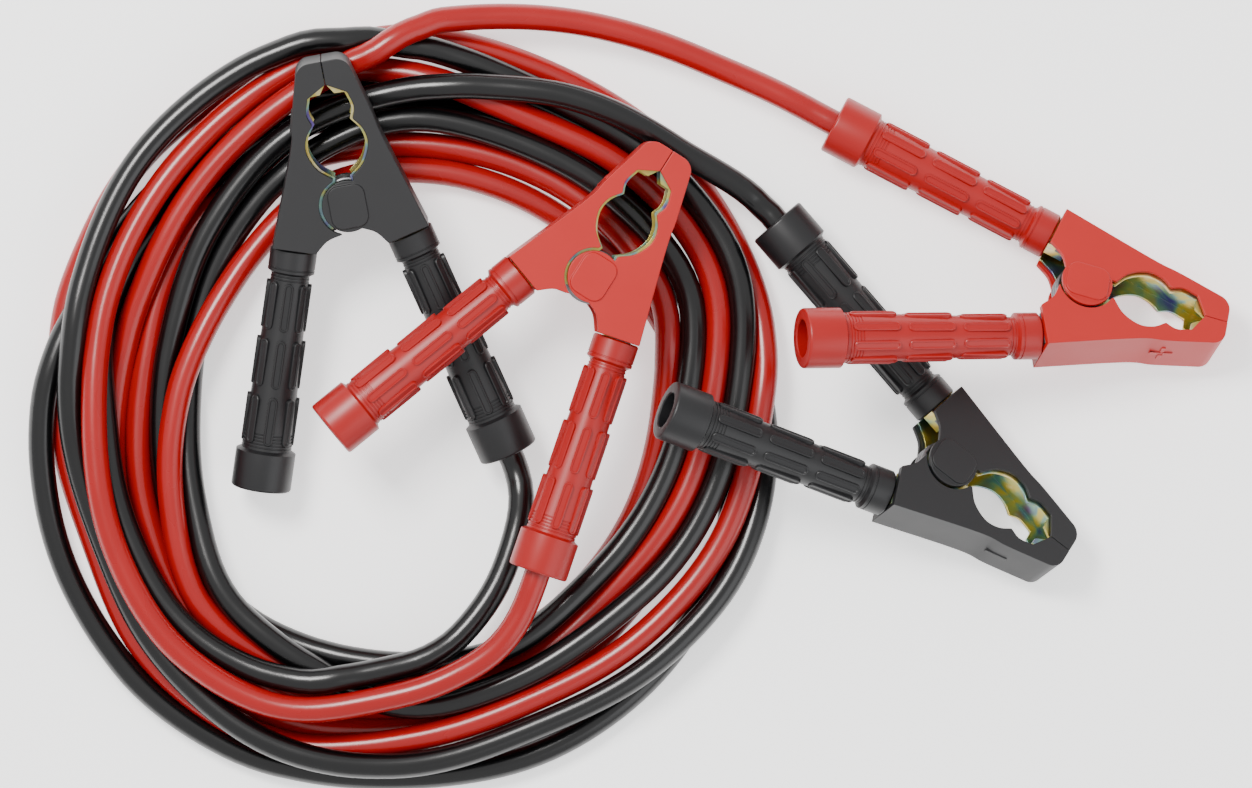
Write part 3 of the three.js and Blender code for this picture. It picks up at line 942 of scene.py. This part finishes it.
def settled(lines, held, cable):
    """The cables' lines after their turns have settled on the floor and on each other."""
    every = np.vstack(lines)
    under = every[:, 3]
    line = every[:, :3].copy()
    owner = np.concatenate([np.full(len(part), k) for k, part in enumerate(lines)])
    fixed = np.zeros(len(line), bool)
    starts = np.cumsum([0] + [len(part) for part in lines])
    for first, last in zip(starts, starts[1:]):
        fixed[first : first + held] = True
        fixed[last - held : last] = True
    line[:, 2] = laid(line, owner, under, fixed | (under > LEAD_LIMIT), cable)
    for a, b in zip(starts, starts[1:]):
        smooth = line[a:b]
        for turn in range(EVEN_ROUNDS):
            bend = 0.5 * (smooth[:-2, :2] + smooth[2:, :2]) - smooth[1:-1, :2]
            smooth[held - 1 : 1 - held, :2] += EVEN_STEPS[turn % 2] * bend[held - 2 : 2 - held]
    home = line.copy()
    low = (line[:, 0] > cable.low_side) & (under < LEAD_LIMIT)
    radius, diameter = cable.diameter / 2, cable.diameter
    reach = LONG_REACH
    for turn in range(cable.rounds):
        if turn % PAIR_INTERVAL == 0:
            first, second = near_pairs(line, owner, diameter * CONTACT_REACH, SAME_CABLE_SKIP)
        calm = turn > cable.rounds * CALM_SHARE
        line[:, 2] -= 0 if calm else SINK * MM
        line[:, :2] += (CALM_PULL if calm else RETURN_PULL) * (home[:, :2] - line[:, :2])
        for a, b in zip(starts, starts[1:]):
            part = line[a:b]
            moved = part - home[a:b] * (1, 1, 0)
            middle = 0.5 * (moved[: -2 * reach] + moved[2 * reach :])
            part[reach:-reach] += LONG_STIFFNESS * (middle - moved[reach:-reach])
            moved = part - home[a:b] * (1, 1, 0)
            part[1:-1] += SHORT_STIFFNESS * (0.5 * (moved[:-2] + moved[2:]) - moved[1:-1])
        gap = line[second] - line[first]
        distance = np.maximum(np.linalg.norm(gap, axis=1), 1e-6)
        push = np.clip(diameter - distance, 0, None) / distance
        move = gap * (0.5 * push)[:, None]
        weight = np.where(push > 0, 1.0, 0.0)
        count = np.bincount(first, weight, len(line)) + np.bincount(second, weight, len(line))
        for k in range(3):
            total = np.bincount(second, move[:, k], len(line)) - np.bincount(first, move[:, k], len(line))
            line[:, k] += total / np.maximum(np.sqrt(count), 1)
        line[low, 2] = np.minimum(line[low, 2], cable.low_top - radius)
        line[:, 2] = np.maximum(line[:, 2], radius)
        line[fixed] = home[fixed]
    return [line[a:b] for a, b in zip(starts, starts[1:])]


def tube(line, radius, sides):
    """A closed tube along a line, with a UV map in metres: along the tube, then round it."""
    tangent = np.gradient(line, axis=0)
    tangent /= np.linalg.norm(tangent, axis=1)[:, None]
    along = np.concatenate([[0], np.cumsum(np.linalg.norm(np.diff(line, axis=0), axis=1))])
    normal = np.cross(tangent[0], (0, 0, 1))
    rings = []
    for spot, direction in zip(line, tangent):
        normal = normal - direction * normal.dot(direction)
        normal /= np.linalg.norm(normal)
        other = np.cross(direction, normal)
        turn = 2 * math.pi * np.arange(sides) / sides
        rings.append(spot + radius * (np.outer(np.cos(turn), normal) + np.outer(np.sin(turn), other)))
    bm = bmesh.new()
    layer = bm.loops.layers.uv.new("UVMap")
    verts = [[bm.verts.new(p) for p in ring] for ring in rings]
    for i in range(len(verts) - 1):
        for k in range(sides):
            n = (k + 1) % sides
            face = bm.faces.new((verts[i][k], verts[i][n], verts[i + 1][n], verts[i + 1][k]))
            corners = ((i, k), (i, k + 1), (i + 1, k + 1), (i + 1, k))
            for loop, (row, column) in zip(face.loops, corners):
                loop[layer].uv = (along[row], column * 2 * math.pi * radius / sides)
    bm.faces.new(reversed(verts[0]))
    bm.faces.new(verts[-1])
    bmesh.ops.recalc_face_normals(bm, faces=bm.faces)
    mesh = bpy.data.meshes.new("tube")
    bm.to_mesh(mesh)
    bm.free()
    mesh.shade_smooth()
    return mesh


class OBJECT_OT_jumper_cables(bpy.types.Operator):
    """Lays the red and the black cable from clamp to clamp"""

    bl_idname = "object.jumper_cables"
    bl_label = "Cables"

    def execute(self, context):
        sizes = context.scene.cable_set
        cable, grip = sizes.cable, sizes.grip
        red, held = cable_route("red_right", "red_left", RED_TURNS, cable, grip)
        black, _ = cable_route("black_right", "black_left", BLACK_TURNS, cable, grip)
        for colour_name, line in zip(("red", "black"), settled([red, black], held, cable)):
            mesh = tube(line, cable.diameter / 2, cable.sides)
            replaced = ["coil", f"{colour_name}_right_lead", f"{colour_name}_left_lead"]
            piece = put(
                f"{colour_name}_cable", mesh, Matrix(), finish(f"{colour_name}_cable"),
                BASE_BODY, replaced,
            )
        return {"FINISHED"}


class OBJECT_OT_clamp_covers(bpy.types.Operator):
    """Moulds the two cover halves of every clamp"""

    bl_idname = "object.clamp_covers"
    bl_label = "Clamp covers"

    def execute(self, context):
        c = context.scene.cable_set.clamp
        for name, (colour_name, *_) in CLAMPS.items():
            for half, side in SIDES.items():
                mesh = rounded(cover_mesh(c, half, side, colour_name), c.cover_round)
                put(
                    f"{name}_{half}_cover_moulding", mesh, clamp_place(name), finish(f"{colour_name}_cover"),
                    half_body(name, half), [f"{name}_{half}_cover"],
                )
        return {"FINISHED"}


def cover_mesh(c, half, side, colour_name):
    """A cover half: hollow between its two sides, with the cap or the polarity mark on it."""
    steps = []
    if half == "cable":
        w, h, r = c.cap_length / 2, c.cap_width / 2, c.cap_corner
        corners = [(w - r, h - r, 0), (r - w, h - r, 90), (r - w, r - h, 180), (w - r, r - h, 270)]
        cap = [p for x, y, start in corners for p in arc((x, y), r, start, start + 90, 6)]
        steps.append(("UNION", prism(cap, c.thickness / 2 + c.cap_rise)))
    hollow = hollow_outline(c, half, c.wall)
    steps.append(("DIFFERENCE", prism(hollow, steel_half(c, half) + c.fit, side)))
    if half == "free":
        steps += [("UNION", bar) for bar in mark_bars(c, colour_name, side)]
    return joined(prism(cover_outline(c, half), c.thickness / 2, side), steps)


def mark_bars(c, colour_name, side):
    """The bars of the raised mark on the outer edge: one for minus, two crossed for plus."""
    edge = outer_edge(c, "free", 0)
    after = next(i for i, p in enumerate(edge) if p[0] < c.mark_x)
    a, b = Vector(edge[after]), Vector(edge[after - 1])
    along = (b - a).normalized()
    middle = a + along * ((c.mark_x - a.x) / along.x)
    tilt = math.atan2(side * along.y, along.x)
    place = Matrix.Translation((middle.x, side * middle.y, 0)) @ Matrix.Rotation(tilt, 4, "Z")
    bars = [(c.mark_length, 2 * c.mark_rise, c.mark_width)]
    if colour_name == "red":
        bars.append((c.mark_width, 2 * c.mark_rise, c.mark_length))
    return [block(size, place) for size in bars]


class OBJECT_OT_clamp_jaws(bpy.types.Operator):
    """Folds the two steel jaws of every clamp and finishes its pivot pin"""

    bl_idname = "object.clamp_jaws"
    bl_label = "Clamp jaws"

    def execute(self, context):
        c = context.scene.cable_set.clamp
        for name in CLAMPS:
            for half, side in SIDES.items():
                mesh = rounded(jaw_mesh(c, half, side), c.steel_round, segments=2, sharpest=40)
                put(
                    f"{name}_{half}_jaw_channel", mesh, clamp_place(name), finish("jaw_steel"),
                    half_body(name, half), [f"{name}_{half}_jaw"],
                )
            pin = frame["nodes"][f"{name}_pivot_pin"]
            pin.data.materials.clear()
            pin.data.materials.append(finish("jaw_steel"))
        return {"FINISHED"}


def jaw_mesh(c, half, side):
    """A steel jaw: a folded channel with a tang for the grip and a hole for the pin."""
    width = steel_half(c, half)
    inset = c.wall + c.fit
    tang = [
        handle_point(half, -c.tang_root, -c.tang_half_width),
        handle_point(half, -c.tang_root, c.tang_half_width),
        handle_point(half, c.tang_length, c.tang_half_width),
        handle_point(half, c.tang_length, -c.tang_half_width),
    ]
    hole = arc((0, 0), c.pin_radius + c.fit, 0, 345, 23)
    steps = [
        ("DIFFERENCE", prism(hollow_outline(c, half, inset + c.steel), width - c.steel, side)),
        ("UNION", prism(tang, c.tang_half_depth, side)),
        ("DIFFERENCE", prism(hole, c.thickness)),
    ]
    return joined(prism(steel_outline(c, half), width, side), steps)


def grip_profile(g, has_cable, cable):
    """The section of a grip sleeve, as (distance along, radius), with its fine turned grooves."""
    fit = 0.3 * MM
    collar = g.total - g.collar_length
    entry = cable.diameter / 2 + fit if has_cable else g.bore
    start, end = g.ring_length + g.slope, collar - g.slope

    def body(x):
        return g.waist_radius + (g.tail_radius - g.waist_radius) * (x - start) / (end - start)

    def groove(x, radius):
        w = g.groove_pitch / 4
        return [(x - w, radius), (x - w / 2, radius - g.groove_depth), (x + w / 2, radius - g.groove_depth),
                (x + w, radius)]

    points = [(fit, g.bore), (fit, g.ring_radius - 0.8 * MM), (fit + 0.8 * MM, g.ring_radius)]
    points += groove(g.ring_length - 1.6 * MM, g.ring_radius)
    points += [(g.ring_length, g.ring_radius), (start, g.waist_radius)]
    for i in range(2):
        x = start + g.groove_pitch * (i + 0.6)
        points += groove(x, body(x))
    for i in range(5, 0, -1):
        x = end - g.groove_pitch * i
        points += groove(x, body(x))
    points += [(end, g.tail_radius), (collar, g.collar_radius)]
    points += [(x, r) for x, r in arc((g.total - g.round, g.collar_radius - g.round), g.round, 90, 0, 4)]
    points += [(g.total, entry + 0.5 * MM), (g.total - 0.5 * MM, entry)]
    if has_cable:
        points += [(collar, entry), (collar - g.slope, g.bore)]
    return points


def rib_mesh(g):
    """One rib: a long bar with round ends, whose middle lies a little below its edge."""
    bm = bmesh.new()
    r, straight = g.rib_width / 2, g.rib_length / 2 - g.rib_width / 2
    levels = [
        (0.0, -1.2 * MM),
        (0.0, g.rib_rise - 0.3 * MM),
        (0.3 * MM, g.rib_rise),
        (0.8 * MM, g.rib_rise),
        (1.1 * MM, g.rib_rise - g.rib_dish),
    ]
    loops = []
    for inset, z in levels:
        right = arc((straight, 0), r - inset, -90, 90, 6)
        left = arc((-straight, 0), r - inset, 90, 270, 6)
        loops.append([bm.verts.new((x, y, z)) for x, y in right + left])
    for low, high in zip(loops, loops[1:]):
        for i in range(len(low)):
            j = (i + 1) % len(low)
            bm.faces.new((low[i], low[j], high[j], high[i]))
    bm.faces.new(reversed(loops[0]))
    bm.faces.new(loops[-1])
    mesh = bpy.data.meshes.new("rib")
    bm.to_mesh(mesh)
    bm.free()
    return mesh


class OBJECT_OT_clamp_grips(bpy.types.Operator):
    """Turns the two grip sleeves of every clamp and sets their ribs"""

    bl_idname = "object.clamp_grips"
    bl_label = "Grips"

    def execute(self, context):
        sizes = context.scene.cable_set
        g = sizes.grip
        tree = rib_tree()
        rib = link("rib", rib_mesh(g))
        for name, (colour_name, *_) in CLAMPS.items():
            for half in SIDES:
                sleeve = lathe(grip_profile(g, half == "cable", sizes.cable), 64)
                inputs = {
                    "Rib": rib,
                    "Rows": g.rows,
                    "Ribs Around": g.around,
                    "First Row": g.first_row,
                    "Row Pitch": g.row_pitch,
                    "Body Start": g.ring_length,
                    "Body End": g.total - g.collar_length,
                    "Waist Radius": g.waist_radius,
                    "Tail Radius": g.tail_radius,
                    "Material": finish(f"{colour_name}_grip"),
                }
                mesh = grown(sleeve, tree, inputs)
                mesh.shade_smooth()
                mesh.set_sharp_from_angle(angle=math.radians(38))
                put(
                    f"{name}_{half}_grip_sleeve", mesh, clamp_place(name) @ grip_place(half),
                    finish(f"{colour_name}_grip"), half_body(name, half),
                    [f"{name}_{half}_grip"],
                )
        bpy.data.objects.remove(rib)
        return {"FINISHED"}


def spring_path(c, s):
    """The line of a torsion spring: one leg on each tang and the turns round the pin."""
    rise = steel_half(c, "free") - c.steel - c.fit - s.wire / 2

    def leg(half):
        x, _, degrees = HANDLES[half]
        reach = (x * MM + s.leg_x) / math.cos(math.radians(degrees))
        return handle_point(half, reach, -c.tang_half_width)[1] - s.wire / 2 - s.leg_gap

    free, fixed = leg("free"), -leg("cable")
    points = [(-s.leg_x, free, rise), (-s.leg_x / 2, (free + s.radius) / 2, rise)]
    steps = int(s.turns * 12)
    for i in range(steps + 1):
        a = math.pi / 2 - 2 * math.pi * s.turns * i / steps
        points.append((s.radius * math.cos(a), s.radius * math.sin(a), rise * (1 - 2 * i / steps)))
    points += [(-s.leg_x / 2, (fixed - s.radius) / 2, -rise), (-s.leg_x, fixed, -rise)]
    return spline(points, 3), rise


class OBJECT_OT_clamp_springs(bpy.types.Operator):
    """Winds the torsion spring of every clamp"""

    bl_idname = "object.clamp_springs"
    bl_label = "Springs"

    def execute(self, context):
        sizes = context.scene.cable_set
        line, rise = spring_path(sizes.clamp, sizes.spring)
        tree = wire_tree()
        for name in CLAMPS:
            path = bpy.data.meshes.new("path")
            path.from_pydata(line, [(i, i + 1) for i in range(len(line) - 1)], [])
            inputs = {
                "Wire Radius": sizes.spring.wire / 2, "Sides": 14, "Material": finish("spring_steel"),
            }
            mesh = grown(path, tree, inputs)
            place = clamp_place(name)
            mesh.name = f"{name}_torsion_spring"
            mesh.transform(place)
            piece = link(f"{name}_torsion_spring", mesh)
            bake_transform(piece)
            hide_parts(f"{name}_spring")
        return {"FINISHED"}


def area_light(name, place, target, size, power, tone):
    """A soft square light that faces a point."""
    data = bpy.data.lights.new(name, "AREA")
    data.shape = "SQUARE"
    data.size = size
    data.energy = power
    data.color = tone
    lamp = bpy.data.objects.new(name, data)
    bpy.context.scene.collection.objects.link(lamp)
    lamp.location = place
    lamp.rotation_euler = (Vector(target) - Vector(place)).to_track_quat("-Z", "Y").to_euler()


class OBJECT_OT_cable_stage(bpy.types.Operator):
    """Sets the floor, the lights and the camera"""

    bl_idname = "object.cable_stage"
    bl_label = "Stage"

    def execute(self, context):
        s = context.scene.cable_set.stage
        bm = bmesh.new()
        bmesh.ops.create_grid(bm, x_segments=1, y_segments=1, size=s.floor / 2)
        mesh = bpy.data.meshes.new("studio_floor")
        bm.to_mesh(mesh)
        bm.free()
        mesh.transform(Matrix.Translation((0, 0, -0.3 * MM)))
        mesh.materials.append(finish("floor"))
        link("studio_floor", mesh)

        middle = (s.view_x, s.view_y, 0)
        area_light("key", (-0.75, 0.75, 1.7), middle, 0.6, s.key, (1.0, 0.98, 0.96))
        area_light("fill", (1.3, -0.9, 1.4), middle, 1.6, s.fill, (0.96, 0.98, 1.0))
        world = bpy.data.worlds.new("studio")
        world.use_nodes = True
        background = world.node_tree.nodes["Background"]
        background.inputs["Color"].default_value = (1, 1, 1, 1)
        background.inputs["Strength"].default_value = s.sky
        context.scene.world = world

        data = bpy.data.cameras.new("camera")
        data.lens = s.lens
        camera = bpy.data.objects.new("camera", data)
        context.scene.collection.objects.link(camera)
        distance = s.view_width * s.lens / data.sensor_width
        camera.location = (s.view_x, s.view_y, s.view_height + distance)
        context.scene.camera = camera
        return {"FINISHED"}


class VIEW3D_PT_jumper_cables(bpy.types.Panel):
    """Lists the sizes and the pieces of the set"""

    bl_label = "Jumper cables"
    bl_idname = "VIEW3D_PT_jumper_cables"
    bl_space_type = "VIEW_3D"
    bl_region_type = "UI"
    bl_category = "Jumper cables"

    def draw(self, context):
        sizes = context.scene.cable_set
        for title, group in (
            ("Cables", sizes.cable),
            ("Clamps", sizes.clamp),
            ("Grips", sizes.grip),
            ("Springs", sizes.spring),
            ("Colours", sizes.finish),
            ("Stage", sizes.stage),
        ):
            box = self.layout.box()
            box.label(text=title)
            for key in group.bl_rna.properties.keys():
                if key not in ("rna_type", "name"):
                    box.prop(group, key)
        for operator in OPERATORS:
            self.layout.operator(operator.bl_idname)


OPERATORS = [
    OBJECT_OT_cable_stage,
    OBJECT_OT_jumper_cables,
    OBJECT_OT_clamp_covers,
    OBJECT_OT_clamp_jaws,
    OBJECT_OT_clamp_grips,
    OBJECT_OT_clamp_springs,
]
GROUPS = [CableSizes, ClampSizes, GripSizes, SpringSizes, Finishes, StageSizes, CableSet]


def register():
    for item in GROUPS + OPERATORS + [VIEW3D_PT_jumper_cables]:
        bpy.utils.register_class(item)
    bpy.types.Scene.cable_set = PointerProperty(type=CableSet)


def unregister():
    del bpy.types.Scene.cable_set
    for item in reversed(GROUPS + OPERATORS + [VIEW3D_PT_jumper_cables]):
        bpy.utils.unregister_class(item)


def main():
    """Makes the stage and every piece."""
    register()
    for operator in OPERATORS:
        group, name = operator.bl_idname.split(".")
        getattr(getattr(bpy.ops, group), name)()


if __name__ == "__main__":
    main()
